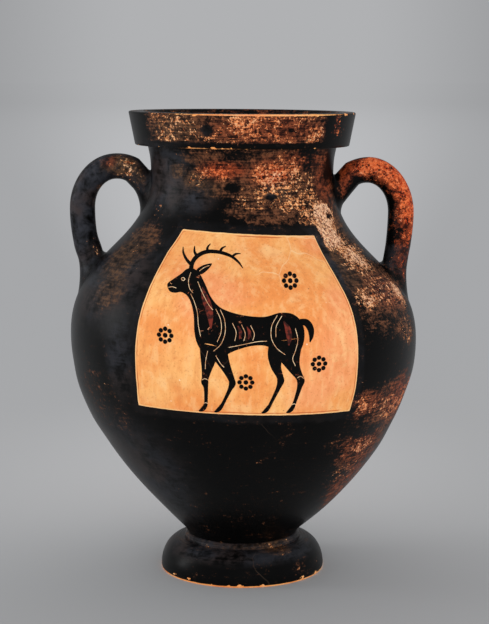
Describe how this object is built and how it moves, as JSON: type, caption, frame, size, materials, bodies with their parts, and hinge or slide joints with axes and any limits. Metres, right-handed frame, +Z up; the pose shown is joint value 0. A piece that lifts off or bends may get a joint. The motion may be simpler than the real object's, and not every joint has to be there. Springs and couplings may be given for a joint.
{
  "type": "amphora",
  "caption": "Wheel-thrown terracotta amphora with a swelling belly, round handles, flaring lip, hollow foot and black slip with a reserved panel.",
  "frame": {"origin": "centre of the foot's resting ring, on the surface the vessel stands on", "axes": "+Z up along the vessel's axis, X through both handles with the higher handle on -X, -Y towards the painted panel that the picture shows"},
  "size_m": [0.2996, 0.2996, 0.4],
  "materials": {
    "black_slip": "semi-gloss black slip",
    "painted_wall": "semi-gloss black slip with reserved orange clay panels",
    "worn_slip": "black slip worn and misfired to brown and orange",
    "red_fired_slip": "slip fired red with black specks"
  },
  "bodies": {
    "root": {"foot": "black_slip", "foot_coil": "worn_slip", "lower_body": "black_slip", "upper_body": "painted_wall", "neck": "worn_slip", "lip": "worn_slip", "handle_left": "black_slip", "handle_right": "red_fired_slip"}
  },
  "joints": []
}
